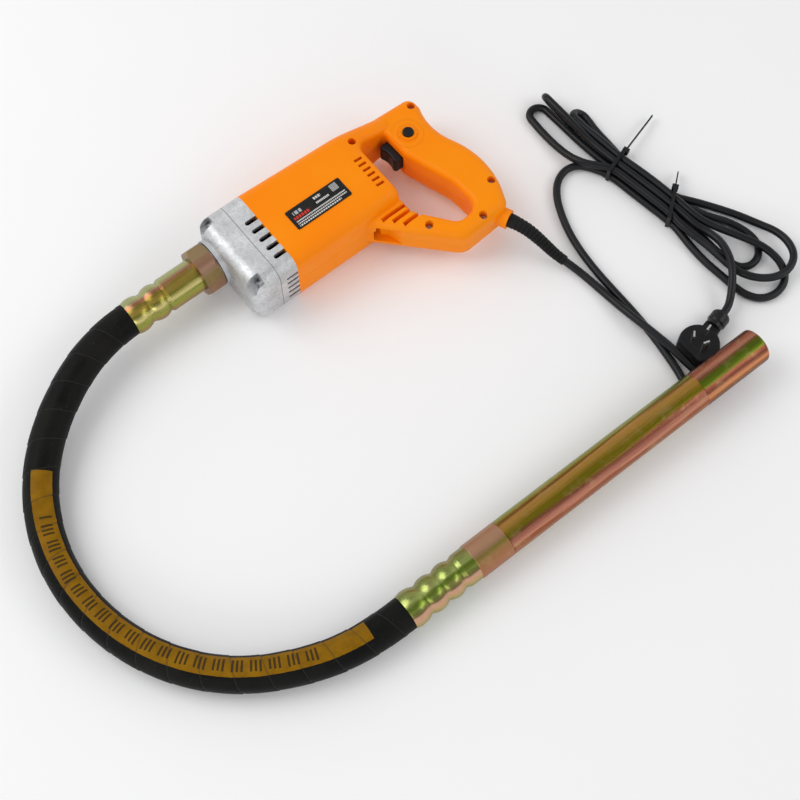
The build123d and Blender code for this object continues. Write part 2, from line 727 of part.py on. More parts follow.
# ---- handle controls ---------------------------------------------------------------------
def trigger():
    """The switch trigger, hollowed for a finger, with its stem inside the handle."""
    edges = [
        ThreePointArc((90.5, 20.0), (95.8, 8.0), (92.5, -5.0)),
        Polyline((92.5, -5.0), (103.0, -5.0), (103.0, 20.0), (90.5, 20.0)),
    ]
    face = make_face(edges)
    corners = face.vertices().sort_by(Axis.X)[:2]
    head = extrude(Pos(0, 0, 25.5) * fillet(corners, 3.5), 19)
    front = [e for e in head.edges() if e.geom_type == GeomType.CIRCLE]
    head = fillet(front, 2.2)
    return head + box(102, 110.5, -5.0, 20.0, 28, 42)


def lock_button():
    """The lock-on button in the side of the handle."""
    x, y = LOCK_BUTTON
    stem = rod_z(x, y, 47, 59.5, LOCK_RADIUS)
    stem = fillet(stem.edges().sort_by(Axis.Z)[-1], 1.0)
    return stem + rod_z(x, y, 45.9, 47.8, 7.2)


def lock_spring():
    """The return spring under the lock-on button, as a plain sleeve."""
    x, y = LOCK_BUTTON
    return rod_z(x, y, 41.1, 45.8, 3.6) - rod_z(x, y, 40, 47, 2.6)


def switch_body():
    """The switch block behind the trigger."""
    body = box(117.5, 139.5, -9, 20, 27, 41)
    return fillet(body.edges().filter_by(Axis.Z), 1.5)


def cord_clamp():
    """The bar and two screws that grip the cord inside the handle."""
    bar = box(128.8, 144.8, -101, -94, 39.2, 43)
    screws = []
    for x in (130.8, 143.4):
        bar -= rod_z(x, -97.5, 38, 44, 1.6)
        screws.append(rod_z(x, -97.5, 43, 45, 2.8) + rod_z(x, -97.5, 30, 43, 1.55))
    return bar, Compound(children=screws)


# ---- mains cord ------------------------------------------------------------------------
def inner_lead():
    """The cord inside the handle, from the collar past the clamp to the switch."""
    start = COLLAR_END - COLLAR_DIRECTION * 0.2
    return tube([tuple(start), tuple(COLLAR_END - COLLAR_DIRECTION * 16), (135.2, -90, MID),
                 (133.4, -50, MID), (132.6, -9.1, MID)], CORD_RADIUS)


def band(centre, angle, across, slack=0.0):
    """The closed band of a cable tie round the hank."""
    width = 3.6 + slack
    outer = Box(across + slack, width, HANK_HEIGHT + 1.2 + slack)
    inner = Box(across - 2.4 - slack, width + 2, HANK_HEIGHT - 1.2 - slack)
    z = (HANK_HEIGHT + 1.2) / 2 + 0.1
    return Pos(*centre, z) * Rot(0, 0, angle) * (outer - inner)


def waist(tie, side):
    """Two points of the hank's outline where a tie's band draws it in; side is -1 or 1."""
    centre, angle, across, _, _ = TIES[tie]
    half = across / 2 - 1.25
    place = Pos(*centre, 0) * Rot(0, 0, angle)
    points = [(place * Pos(side * half, side * along, 0)).position for along in (2.2, -2.2)]
    return [(point.X, point.Y) for point in points]


def hank():
    """The outer shape of the tied hank."""
    outline = HANK_TOP + waist("cable_tie_upper", 1) + HANK_RIGHT
    outline += waist("cable_tie_lower", 1) + HANK_LOW + waist("cable_tie_lower", -1)
    outline += HANK_LEFT + waist("cable_tie_upper", -1)
    solid = prism(outline, 0.15, HANK_HEIGHT)
    solid = fillet(solid.edges().group_by(Axis.Z)[-1], 4.0)
    for centre, angle, across, _, _ in TIES.values():
        solid -= band(centre, angle, across, 0.1)
    return solid


def cable_tie(centre, angle, across, tail, lift):
    """A cable tie: its band, its head and its loose tail."""
    place = Pos(*centre, 0) * Rot(0, 0, angle)
    head = Pos(across / 2 + 2.4, 0, 9) * Box(5, 6.4, 6.4)
    strip = Pos(across / 2 + 4.5 + tail / 2, 0, 9) * Rot(0, lift, 0) * Box(tail, 1.2, 3.4)
    strip = Pos(0, 0, -1.0) * strip
    return band(centre, angle, across) + place * (head + strip)


def plug_body():
    """The round plug body, lying on its back with the pins up."""
    disc = Pos(PLUG_CENTRE) * Pos(0, 0, 0.2) * rod(PLUG_RADIUS, PLUG_HEIGHT - 0.2)
    disc = fillet(disc.edges().sort_by(Axis.Z)[-1], 2.0)
    place = Pos(PLUG_CENTRE) * Rot(0, 0, BOOT_ANGLE)
    throat = place * Pos(17, 0, 7.4) * Box(14, 16, 13.2)
    flat = Pos(PLUG_CENTRE) * box(PLUG_FLAT - 20, PLUG_FLAT, -30, 30, -1, PLUG_HEIGHT + 1)
    return disc + throat - flat


def plug_boot():
    """The ribbed boot where the cord enters the plug."""
    stations = [(24.2, 8.2, 0), (28, 8.2, 0), (30, 9.4, 0), (38, 9.4, 0), (BOOT_END, 6.2, 0.8)]
    place = axis_plane(PLUG_CENTRE + Vector(0, 0, BOOT_HEIGHT), BOOT_DIRECTION)
    return place * bulged_profile(stations, 0.0)


def plug_pins():
    """Three flat pins in the standard slanted pattern."""
    pins = []
    for along, across, turn in ((10.3, 0, 0), (-4.0, 6.9, 30), (-4.0, -6.9, -30)):
        pin = Pos(along, across, PLUG_HEIGHT + 8.5) * Rot(0, 0, turn) * Box(6.3, 1.7, 17)
        pins.append(Pos(PLUG_CENTRE) * Rot(0, 0, BOOT_ANGLE) * pin)
    return Compound(children=pins)


# ---- all parts --------------------------------------------------------------------------
def build():
    """Every node of the assembly, by name."""
    parts = housing_halves()
    parts["housing_screws"] = housing_screws()
    parts["nameplate"] = nameplate()
    parts["bearing_bracket"] = bearing_bracket()
    parts["gear_cover"] = gear_cover()
    parts["cover_screws"] = cover_screws()
    parts["coupling_nut"] = nut()

    parts["stator_core"] = stator_core()
    parts["field_coils"] = field_coils()
    parts["armature_shaft"] = armature_shaft()
    parts["armature_core"] = armature_core()
    parts["armature_windings"] = armature_windings()
    parts["commutator"] = commutator()
    parts["cooling_fan"] = cooling_fan()
    front = bearing_races(-74, -66.2, 13.0, 4.98, MOTOR_Y)
    rear = bearing_races(46, 53, 11.0, 3.98, MOTOR_Y)
    parts["armature_outer_races"] = Compound(children=[front[0], rear[0]])
    parts["armature_inner_races"] = Compound(children=[front[1], rear[1]])
    brushes, springs, parts["brush_holders"] = brush_parts()
    for name in brushes:
        parts[f"{name}_brush"] = brushes[name]
        parts[f"{name}_brush_spring"] = springs[name]

    parts["drive_gear"] = drive_gear()
    parts["spindle"] = spindle()
    rear = bearing_races(-75, -68.2, 11.0, 3.98, SPINDLE_Y)
    front = bearing_races(-105.5, -96.5, 16.0, 7.5, SPINDLE_Y)
    parts["spindle_outer_races"] = Compound(children=[front[0], rear[0]])
    parts["spindle_inner_races"] = Compound(children=[front[1], rear[1]])
    parts["spindle_seal"] = ring_x(-111, -106.2, 12.95, 8.0, SPINDLE_Y)
    parts["drive_fitting"] = drive_fitting()

    parts["rear_ferrule"] = rear_ferrule()
    hose, hose_path = tube(HOSE_ROUTE, HOSE_RADIUS, LINER_RADIUS)
    parts["hose"] = hose
    parts["poker_ferrule"] = poker_ferrule()
    core_start = (-118.3, SPINDLE_Y, MID)
    core_end = tuple(POKER_START + POKER_DIRECTION * 120)
    core, _ = tube([core_start] + HOSE_ROUTE[1:-1] + [core_end], CORE_RADIUS)
    parts["flexible_core"] = core
    parts["poker_connector"] = poker_connector()
    parts["poker_tube"] = poker_tube()
    parts["poker_tip"] = poker_tip()
    parts["poker_seal"] = poker_seal()
    parts["eccentric_rotor"] = eccentric_rotor()
    parts["rotor_fitting"] = rotor_fitting()
    front = poker_races(136, 12)
    rear = poker_races(302, 12)
    parts["poker_outer_races"] = Compound(children=[front[0], rear[0]])
    parts["poker_inner_races"] = Compound(children=[front[1], rear[1]])

    parts["trigger"] = trigger()
    parts["lock_button"] = lock_button()
    parts["lock_spring"] = lock_spring()
    parts["switch_body"] = switch_body()
    parts["cord_clamp"], parts["clamp_screws"] = cord_clamp()
    parts["inner_lead"], _ = inner_lead()

    parts["strain_relief"], _ = tube(RELIEF_ROUTE, 7.2)
    lead, lead_path = tube(LEAD_ROUTE, CORD_RADIUS)
    parts["cord_lead"] = lead
    tail, tail_path = tube(TAIL_ROUTE, CORD_RADIUS)
    parts["cord_tail"] = tail
    parts["cord_hank"] = hank()
    for name, values in TIES.items():
        parts[name] = cable_tie(*values)
    parts["plug_body"] = plug_body()
    parts["plug_boot"] = plug_boot()
    parts["plug_pins"] = plug_pins()

    report_tube("hose", hose, hose_path, HOSE_ROUTE, HOSE_RADIUS, LINER_RADIUS)
    report_tube("cord_lead", lead, lead_path, LEAD_ROUTE, CORD_RADIUS, 0)
    report_tube("cord_tail", tail, tail_path, TAIL_ROUTE, CORD_RADIUS, 0)
    return parts


def report_tube(name, solid, path, route, outer, inner):
    """Print a tube's length, its volume against section times length, and its radii."""
    expected = pi * (outer * outer - inner * inner) * path.length
    radii = " ".join(f"{radius:.0f}" for radius in corner_radii(route))
    print(f"{name}: length {path.length:.0f}, volume ratio {solid.volume / expected:.3f}")
    print(f"{name} radii: {radii}")


def main():
    """Write one STEP file for each node."""
    os.makedirs("parts", exist_ok=True)
    for name, shape in build().items():
        export_step(shape, f"parts/{name}.step")
    print("poker axis", tuple(round(v, 6) for v in POKER_DIRECTION), tuple(POKER_START))


main()
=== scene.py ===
"""Concrete vibrator: the looks, free cords, floor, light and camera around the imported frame.

Everything is in metres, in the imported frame's own axes. Routes are written in millimetres.
"""
import json
from math import acos, cos, pi, radians, sin

import bmesh
import bpy
from mathutils import Matrix, Vector


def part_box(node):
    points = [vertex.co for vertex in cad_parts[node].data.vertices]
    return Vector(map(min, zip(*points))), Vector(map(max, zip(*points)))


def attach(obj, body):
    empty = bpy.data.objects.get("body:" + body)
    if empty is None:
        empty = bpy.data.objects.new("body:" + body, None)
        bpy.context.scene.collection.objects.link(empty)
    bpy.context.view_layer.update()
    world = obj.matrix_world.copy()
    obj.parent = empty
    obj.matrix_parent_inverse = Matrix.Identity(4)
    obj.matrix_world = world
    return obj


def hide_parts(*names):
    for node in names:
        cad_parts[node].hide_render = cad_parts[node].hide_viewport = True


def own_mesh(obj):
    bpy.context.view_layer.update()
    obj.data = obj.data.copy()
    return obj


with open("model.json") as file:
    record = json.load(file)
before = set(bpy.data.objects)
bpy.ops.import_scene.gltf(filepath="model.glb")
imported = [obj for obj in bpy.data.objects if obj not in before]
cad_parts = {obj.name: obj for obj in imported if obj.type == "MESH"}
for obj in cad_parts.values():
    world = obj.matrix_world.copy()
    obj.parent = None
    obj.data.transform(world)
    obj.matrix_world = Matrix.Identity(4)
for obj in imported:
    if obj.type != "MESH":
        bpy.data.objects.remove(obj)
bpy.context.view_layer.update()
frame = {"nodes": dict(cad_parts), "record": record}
scene = bpy.context.scene

# ---------------------------------------------------------------- camera
# its place, and the directions of its own axes
CAMERA_PLACE = (-0.3892, -0.6162, 1.2545)
CAMERA_RIGHT = (0.7804, -0.6252, 0.0)
CAMERA_UP = (0.5734, 0.7157, 0.3987)
CAMERA_BACK = (-0.2493, -0.3112, 0.9171)

camera_data = bpy.data.cameras.new("camera")
camera_data.sensor_width = 36
camera_data.lens = 65.25
camera = bpy.data.objects.new("camera", camera_data)
scene.collection.objects.link(camera)
axes = Matrix([CAMERA_RIGHT, CAMERA_UP, CAMERA_BACK]).transposed().to_4x4()
camera.matrix_world = Matrix.Translation(CAMERA_PLACE) @ axes
scene.camera = camera


# ---------------------------------------------------------------- material helpers
class Shading:
    """One node-based material, whose colour, roughness and bump are fields over the frame."""

    def __init__(self, name, **fixed):
        self.material = bpy.data.materials.new(name)
        self.material.use_nodes = True
        self.tree = self.material.node_tree
        self.surface = self.tree.nodes["Principled BSDF"]
        for socket, value in fixed.items():
            self.surface.inputs[socket.replace("_", " ")].default_value = value
        self.place = self.node("ShaderNodeTexCoord").outputs["Object"]

    def node(self, kind, **settings):
        """A new node of this kind, with these attributes."""
        node = self.tree.nodes.new(kind)
        for key, value in settings.items():
            setattr(node, key, value)
        return node

    def feed(self, socket, value):
        """Link a field to an input socket, or set the socket to a constant."""
        if isinstance(value, bpy.types.NodeSocket):
            self.tree.links.new(value, socket)
        else:
            socket.default_value = value

    def stretch(self, scale):
        """The place, scaled by a different amount along each axis."""
        mapping = self.node("ShaderNodeMapping")
        self.feed(mapping.inputs["Vector"], self.place)
        mapping.inputs["Scale"].default_value = scale
        return mapping.outputs["Vector"]

    def noise(self, scale, detail=3.0, roughness=0.55, vector=None):
        noise = self.node("ShaderNodeTexNoise")
        self.feed(noise.inputs["Vector"], vector or self.place)
        noise.inputs["Scale"].default_value = scale
        noise.inputs["Detail"].default_value = detail
        noise.inputs["Roughness"].default_value = roughness
        return noise.outputs["Fac"]

    def cells(self, scale):
        cells = self.node("ShaderNodeTexVoronoi")
        self.feed(cells.inputs["Vector"], self.place)
        cells.inputs["Scale"].default_value = scale
        return cells.outputs["Distance"]

    def math(self, operation, a, b=0.0):
        node = self.node("ShaderNodeMath", operation=operation)
        for socket, value in zip(node.inputs, (a, b)):
            self.feed(socket, value)
        return node.outputs["Value"]

    def total(self, a, b):
        return self.math("ADD", a, b)

    def less(self, a, b):
        return self.math("SUBTRACT", a, b)

    def times(self, a, b):
        return self.math("MULTIPLY", a, b)

    def all_of(self, *masks):
        """1 where every one of these masks is 1, otherwise 0."""
        mask = masks[0]
        for other in masks[1:]:
            mask = self.times(mask, other)
        return mask

    def within(self, value, half):
        """1 where a field lies between -half and half, otherwise 0."""
        return self.math("LESS_THAN", self.math("ABSOLUTE", value), half)

    def between(self, value, low, high):
        """1 where a field lies between low and high, otherwise 0."""
        above = self.math("GREATER_THAN", value, low)
        return self.times(above, self.math("LESS_THAN", value, high))

    def repeat(self, value, pitch):
        """0 to 1 over each pitch of a field."""
        return self.math("FRACT", self.math("DIVIDE", value, pitch))

    def span(self, value, low, high, to_low=0.0, to_high=1.0):
        """A smooth step of a field, from to_low where it is low to to_high where it is high."""
        node = self.node("ShaderNodeMapRange", interpolation_type="SMOOTHSTEP")
        for socket, number in zip(node.inputs, (value, low, high, to_low, to_high)):
            self.feed(socket, number)
        return node.outputs["Result"]

    def ramp(self, value, stops):
        """A colour for each value from 0 to 1, between (position, colour) stops."""
        node = self.node("ShaderNodeValToRGB")
        self.feed(node.inputs["Fac"], value)
        elements = node.color_ramp.elements
        while len(elements) < len(stops):
            elements.new(0.5)
        for element, (position, colour) in zip(elements, stops):
            element.position = position
            element.color = (*colour, 1)
        return node.outputs["Color"]

    def mix(self, factor, a, b):
        node = self.node("ShaderNodeMix", data_type="RGBA")
        self.feed(node.inputs["Factor"], factor)
        for socket, value in ((node.inputs["A"], a), (node.inputs["B"], b)):
            self.feed(socket, value if isinstance(value, bpy.types.NodeSocket) else (*value, 1))
        return node.outputs["Result"]

    def parts(self, vector=None):
        """The X, Y and Z of the place, or of another vector."""
        node = self.node("ShaderNodeSeparateXYZ")
        self.feed(node.inputs["Vector"], vector or self.place)
        return node.outputs["X"], node.outputs["Y"], node.outputs["Z"]

    def colour(self, value):
        socket = self.surface.inputs["Base Color"]
        self.feed(socket, value if isinstance(value, bpy.types.NodeSocket) else (*value, 1))

    def gloss(self, value):
        self.feed(self.surface.inputs["Roughness"], value)

    def relief(self, height, depth, strength=1.0):
        bump = self.node("ShaderNodeBump")
        bump.inputs["Distance"].default_value = depth
        bump.inputs["Strength"].default_value = strength
        self.feed(bump.inputs["Height"], height)
        self.feed(self.surface.inputs["Normal"], bump.outputs["Normal"])


def metal(name, dark, light, low=0.25, high=0.4):
    """Bare metal between two colours, with its roughness between low and high."""
    m = Shading(name, Metallic=1.0)
    fine = m.noise(300, 4)
    wide = m.noise(25, 3)
    m.colour(m.mix(m.total(m.times(fine, 0.5), m.times(wide, 0.5)), dark, light))
    m.gloss(m.span(wide, 0.3, 0.7, low, high))
    m.relief(fine, 0.00003)
    return m.material


def soft_black(name, colour, low, high, scale, depth=0.0001, specular=0.3):
    """Matt rubber or plastic, a little lighter in patches, with a grain of this scale and depth."""
    m = Shading(name, Specular_IOR_Level=specular)
    fine = m.noise(scale, 5, 0.65)
    patches = m.noise(scale / 25, 2)
    lighter = tuple(2.1 * c for c in colour)
    m.colour(m.mix(m.span(patches, 0.35, 0.75), colour, lighter))
    blend = m.total(m.times(fine, 0.5), m.times(patches, 0.5))
    m.gloss(m.span(blend, 0.3, 0.7, low, high))
    m.relief(fine, depth)
    return m.material


# ---------------------------------------------------------------- plastic and cast metal
LOCK_BUTTON = (0.121, 0.008, 0.0595)
RING_RADII = (0.0105, 0.0165)       # two shallow arcs moulded round the lock button
CASTING_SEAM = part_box("bearing_bracket")[0][0]   # where the bearing bracket meets the gear cover


def orange_plastic():
    m = Shading("orange_plastic", Specular_IOR_Level=0.13)
    grain = m.cells(1400)
    dust = m.noise(90, 6, 0.6)
    wide = m.noise(9, 2)
    base = m.mix(m.span(wide, 0.3, 0.7), (1.0, 0.245, 0.0005), (1.0, 0.285, 0.001))
    m.colour(m.mix(m.span(dust, 0.62, 0.8, 0.0, 0.2), base, (1.0, 0.36, 0.02)))
    m.gloss(m.span(dust, 0.3, 0.75, 0.33, 0.48))
    distance = m.node("ShaderNodeVectorMath", operation="DISTANCE")
    m.feed(distance.inputs[0], m.place)
    distance.inputs[1].default_value = LOCK_BUTTON
    rings = 0.0
    for radius in RING_RADII:
        gap = m.math("ABSOLUTE", m.less(distance.outputs["Value"], radius))
        rings = m.total(rings, m.span(gap, 0.0002, 0.0009, 1.0, 0.0))
    m.relief(m.less(m.times(grain, 0.05), m.times(rings, 0.6)), 0.0006)
    return m.material


def cast_aluminium():
    m = Shading("cast_aluminium", Metallic=0.88)
    speckle = m.noise(900, 4, 0.7)
    mottle = m.noise(230, 5, 0.7)
    stain = m.noise(45, 5, 0.6)
    base = m.mix(m.span(stain, 0.3, 0.75), (0.60, 0.61, 0.62), (0.78, 0.79, 0.80))
    base = m.mix(m.span(mottle, 0.42, 0.64, 0.0, 0.32), base, (0.40, 0.40, 0.41))
    base = m.mix(m.span(speckle, 0.54, 0.7, 0.0, 0.7), base, (0.24, 0.24, 0.25))
    from_seam = m.math("ABSOLUTE", m.less(m.parts()[0], CASTING_SEAM))
    m.colour(m.mix(m.span(from_seam, 0.0001, 0.0005, 0.8, 0.0), base, (0.05, 0.05, 0.052)))
    m.gloss(m.span(speckle, 0.3, 0.7, 0.38, 0.56))
    m.relief(m.total(speckle, m.times(mottle, 0.5)), 0.0003, 0.9)
    return m.material


# ---------------------------------------------------------------- yellow chromate, with painted reflections and highlights
# a point on each axis, and the axis's dy/dx and dz/dx
POKER_AXIS = (-0.176, -0.358, 0.0174, -0.017456, 0.027937)
MOTOR_AXIS = (-0.16, 0.021, 0.035, 0.0, 0.0)
SIGHT_LINE = radians(18.7)          # from which side, round an axis, the camera sees it
# the stop colours are read across each part as the camera sees it: partly the chromate's own tint,
# partly painted reflections and painted highlights, such as the pale stripes
# (place across a round part from edge to edge, colour)
TUBE_STRIPES = [
    (0.0, (0.19, 0.24, 0.03)), (0.07, (0.26, 0.24, 0.04)), (0.10, (0.13, 0.06, 0.015)),
    (0.15, (0.43, 0.22, 0.06)), (0.30, (0.46, 0.26, 0.05)), (0.42, (0.24, 0.18, 0.012)),
    (0.52, (0.19, 0.155, 0.01)), (0.60, (0.17, 0.06, 0.03)), (0.70, (0.36, 0.13, 0.09)),
    (0.83, (0.58, 0.25, 0.16)), (0.88, (0.30, 0.09, 0.04)), (0.97, (0.40, 0.15, 0.06)),
]
TIP_STRIPES = [
    (0.0, (0.20, 0.05, 0.02)), (0.12, (0.30, 0.09, 0.05)), (0.20, (0.50, 0.22, 0.14)),
    (0.27, (0.26, 0.09, 0.05)), (0.33, (0.11, 0.16, 0.012)), (0.53, (0.13, 0.18, 0.015)),
    (0.60, (0.22, 0.07, 0.04)), (0.74, (0.25, 0.08, 0.05)), (0.83, (0.68, 0.28, 0.13)),
    (0.90, (0.42, 0.14, 0.04)), (0.97, (0.12, 0.035, 0.01)),
]
CONNECTOR_TAN = [
    (0.0, (0.36, 0.22, 0.14)), (0.35, (0.45, 0.25, 0.15)), (0.48, (0.24, 0.20, 0.04)),
    (0.60, (0.36, 0.20, 0.08)), (0.80, (0.40, 0.18, 0.09)), (0.97, (0.44, 0.20, 0.12)),
]
FERRULE_GREEN = [
    (0.0, (0.26, 0.20, 0.10)), (0.15, (0.22, 0.26, 0.07)), (0.32, (0.40, 0.46, 0.14)),
    (0.46, (0.13, 0.20, 0.02)), (0.60, (0.24, 0.30, 0.06)), (0.72, (0.16, 0.13, 0.05)),
    (0.82, (0.62, 0.34, 0.24)), (0.97, (0.48, 0.38, 0.12)),
]
GOLD_GREEN = [
    (0.0, (0.26, 0.30, 0.10)), (0.14, (0.42, 0.42, 0.20)), (0.25, (0.40, 0.16, 0.10)),
    (0.36, (0.26, 0.20, 0.03)), (0.50, (0.42, 0.30, 0.06)), (0.62, (0.20, 0.19, 0.03)),
    (0.74, (0.70, 0.60, 0.24)), (0.85, (0.28, 0.32, 0.06)), (0.97, (0.40, 0.26, 0.08)),
]
NUT_BROWN = [
    (0.0, (0.30, 0.20, 0.10)), (0.25, (0.34, 0.24, 0.13)), (0.45, (0.30, 0.16, 0.10)),
    (0.62, (0.42, 0.25, 0.18)), (0.78, (0.28, 0.21, 0.08)), (0.97, (0.32, 0.18, 0.12)),
]


def turn_of(across):
    """The share of a full turn, from +Y towards +Z, at which a round part shows this place."""
    return (SIGHT_LINE + acos(1 - 2 * across)) / (2 * pi)


def plating_and_painted_reflections(name, axis, stops, drift=0.05, low=0.2, high=0.36):
    """Yellow chromate on a round part, with painted reflections and highlights: its colours change
    round the axis, as the camera sees it, and run along X.

    The stops cover the upper side. The lower side repeats some of their colours, with the
    join underneath. drift is how far the stripes wander round the axis.
    """
    m = Shading(name, Metallic=1.0)
    x0, y0, z0, y_slope, z_slope = axis
    x, y, z = m.parts()
    run = m.less(x, x0)
    side = m.less(m.less(y, y0), m.times(run, y_slope))
    rise = m.less(m.less(z, z0), m.times(run, z_slope))
    # a quarter turn on, so that turn 0 is straight down
    turn = m.total(m.math("DIVIDE", m.math("ARCTAN2", rise, side), 2 * pi), 1.25)
    turn = m.math("FRACT", turn)
    wander = m.less(m.noise(1.0, 2, vector=m.stretch((4, 18, 18))), 0.5)
    streak = m.less(m.noise(1.0, 3, 0.6, vector=m.stretch((5, 330, 330))), 0.5)
    turn = m.total(turn, m.times(wander, 2 * drift))
    turn = m.total(turn, m.times(streak, 0.07))
    colours = [colour for _, colour in stops]
    # painted reflections and highlights: the colour follows the turn round the axis towards the
    # camera, over the chromate's own tint
    tint_and_reflections = m.ramp(turn, [
        (0.02, colours[4]), (0.09, colours[2]), (0.16, colours[5]), (0.23, colours[1]),
        *((0.25 + turn_of(across), colour) for across, colour in stops),
        (0.86, colours[3]), (0.92, colours[1]), (0.98, colours[4]),
    ])
    cloud = m.noise(70, 5, 0.6)
    m.colour(m.mix(m.span(cloud, 0.5, 0.75, 0.0, 0.35), tint_and_reflections, (0.50, 0.36, 0.16)))
    scratch = m.noise(1.0, 4, 0.7, vector=m.stretch((14, 900, 900)))
    m.gloss(m.span(scratch, 0.3, 0.7, low, high))
    m.relief(scratch, 0.00005)
    return m.material


# ---------------------------------------------------------------- nameplate
MARK_GREY, MARK_WHITE, MARK_RED = (0.42, 0.42, 0.42), (0.66, 0.65, 0.62), (0.62, 0.03, 0.015)
# x from and to, y from and to, one dash and its gap, colour; millimetres
LABEL_MARKS = [
    (-29, -11, -9.4, -6.2, 3.1, MARK_RED),
    (-27, -17.5, -4.6, -0.6, 4.6, MARK_GREY),
    (-2, 6.5, -2.2, 0.6, 2.6, MARK_WHITE),
    (-2, 13, -7.4, -5.2, 1.7, MARK_WHITE),
    (17.5, 25.5, -6.4, 1.6, 1.3, MARK_GREY),
    (-29, 28, -12.4, -10.9, 1.5, MARK_WHITE),
    (-29, 28, -15.0, -13.6, 2.1, MARK_WHITE),
    (-29, 20, -17.8, -16.2, 2.6, MARK_WHITE),
]
DASH_SHARE = 0.72
DASHES_FROM = -1.0                  # where along X the dashes are counted from


def label_print():
    """A black nameplate with plain bars and dashes where a maker would print words."""
    m = Shading("label", Specular_IOR_Level=0.35)
    x, y, _ = m.parts()
    base = m.mix(m.span(m.noise(160, 4), 0.3, 0.7), (0.004, 0.004, 0.005), (0.010, 0.010, 0.010))
    for x0, x1, y0, y1, dash, colour in LABEL_MARKS:
        inside = m.all_of(m.between(x, x0 / 1000, x1 / 1000), m.between(y, y0 / 1000, y1 / 1000))
        printed = m.math("LESS_THAN", m.repeat(m.less(x, DASHES_FROM), dash / 1000), DASH_SHARE)
        base = m.mix(m.all_of(inside, printed), base, colour)
    m.colour(base)
    m.gloss(m.span(m.noise(240, 3), 0.3, 0.7, 0.25, 0.4))
    m.relief(m.noise(700, 3), 0.00004)
    return m.material


# ---------------------------------------------------------------- hose covering
WRAP_PITCH = 0.0285
WRAP_LEAN = WRAP_PITCH / (2 * pi)   # metres along the hose for each radian of the cloth's wrap
BAND_FROM, BAND_TO = 0.172, 0.580   # the printed stripe, metres along the hose
BAND_TURN, BAND_HALF = 0.26, 0.62   # its middle from the top towards the bend's inside; radians
PRINT_MARGIN = 0.045                # plain stripe before the first bar and after the last
GROUP_PITCH, BAR_PITCH = 0.0165, 0.0041


def hose_rubber():
    """Cloth-wrapped black rubber with an olive stripe.

    The tube's UV is (metres along the hose, radians round it from the top).
    """
    m = Shading("wrapped_hose", Specular_IOR_Level=0.09)
    uv = m.node("ShaderNodeUVMap", uv_map="run").outputs["UV"]
    along, around, _ = m.parts(uv)
    wide = m.noise(22, 4)
    cloth = m.noise(1.0, 3, 0.6, vector=m.stretch((2600, 2600, 700)))
    rubber = m.mix(m.span(wide, 0.3, 0.75), (0.0035, 0.0035, 0.0032), (0.011, 0.0105, 0.0095))
    chalk = m.span(m.noise(420, 5, 0.7), 0.58, 0.74, 0.0, 0.4)
    rubber = m.mix(chalk, rubber, (0.05, 0.05, 0.046))
    turn = m.repeat(m.total(along, m.times(around, WRAP_LEAN)), WRAP_PITCH)
    seam = m.math("MAXIMUM", m.span(turn, 0.0, 0.045, 1.0, 0.0), m.span(turn, 0.985, 1.0))

    # the stripe, with ragged edges
    ragged = m.times(m.less(m.noise(260, 3), 0.5), 0.05)
    across = m.total(m.less(around, BAND_TURN), ragged)
    band = m.all_of(m.within(across, BAND_HALF), m.between(along, BAND_FROM, BAND_TO))
    olive = m.mix(
        m.span(m.noise(60, 5, 0.65), 0.3, 0.72), (0.20, 0.094, 0.001), (0.28, 0.135, 0.002),
    )
    worn = m.span(m.noise(900, 3), 0.62, 0.75, 0.0, 0.35)
    olive = m.mix(worn, olive, (0.05, 0.03, 0.004))

    # groups of plain bars of different heights, in place of words
    local = m.less(along, BAND_FROM)
    height = m.total(0.22, m.times(m.noise(1.0, 0, vector=m.stretch((90, 90, 90))), 0.26))
    bars = m.all_of(
        m.between(m.repeat(local, GROUP_PITCH), 0.12, 0.86),
        m.math("LESS_THAN", m.repeat(local, BAR_PITCH), 0.5),
        m.within(across, height),
        m.between(along, BAND_FROM + PRINT_MARGIN, BAND_TO - PRINT_MARGIN),
    )
    olive = m.mix(m.times(bars, 0.86), olive, (0.028, 0.020, 0.008))
    colour = m.mix(band, rubber, olive)
    m.colour(m.mix(m.times(seam, 0.5), colour, (0.035, 0.034, 0.030)))
    m.gloss(m.span(wide, 0.3, 0.7, 0.42, 0.6))
    m.relief(m.less(m.times(cloth, 0.5), seam), 0.0003, 0.8)
    return m.material


# ---------------------------------------------------------------- materials on the CAD nodes
RUBBER_BLACK, CORD_BLACK = (0.005, 0.005, 0.005), (0.0045, 0.005, 0.006)
slot_materials = {
    "orange_plastic": orange_plastic(),
    "cast_aluminium": cast_aluminium(),
    # the rear ferrule's chromate, with painted reflections and highlights
    "plated_steel": plating_and_painted_reflections("plated_steel", MOTOR_AXIS, GOLD_GREEN),
    "hose_rubber": soft_black("plain_hose_rubber", RUBBER_BLACK, 0.45, 0.6, 900),
    "cord_rubber": soft_black("cord_rubber", CORD_BLACK, 0.28, 0.44, 700, 0.00008),
    "black_rubber": soft_black("black_rubber", RUBBER_BLACK, 0.5, 0.65, 900),
    "black_plastic": soft_black("black_plastic", CORD_BLACK, 0.34, 0.5, 1100),
    "label": label_print(),
    "steel": metal("steel", (0.42, 0.42, 0.43), (0.66, 0.66, 0.68)),
    "lamination": metal("lamination", (0.12, 0.12, 0.125), (0.26, 0.26, 0.27), 0.4, 0.55),
    "copper": metal("copper", (0.62, 0.26, 0.12), (0.85, 0.46, 0.28)),
    "brass": metal("brass", (0.62, 0.44, 0.16), (0.80, 0.62, 0.28)),
    "carbon": soft_black("carbon", (0.02, 0.02, 0.021), 0.5, 0.7, 800),
    "nickel": metal("nickel", (0.60, 0.58, 0.54), (0.82, 0.80, 0.76), 0.16, 0.3),
}
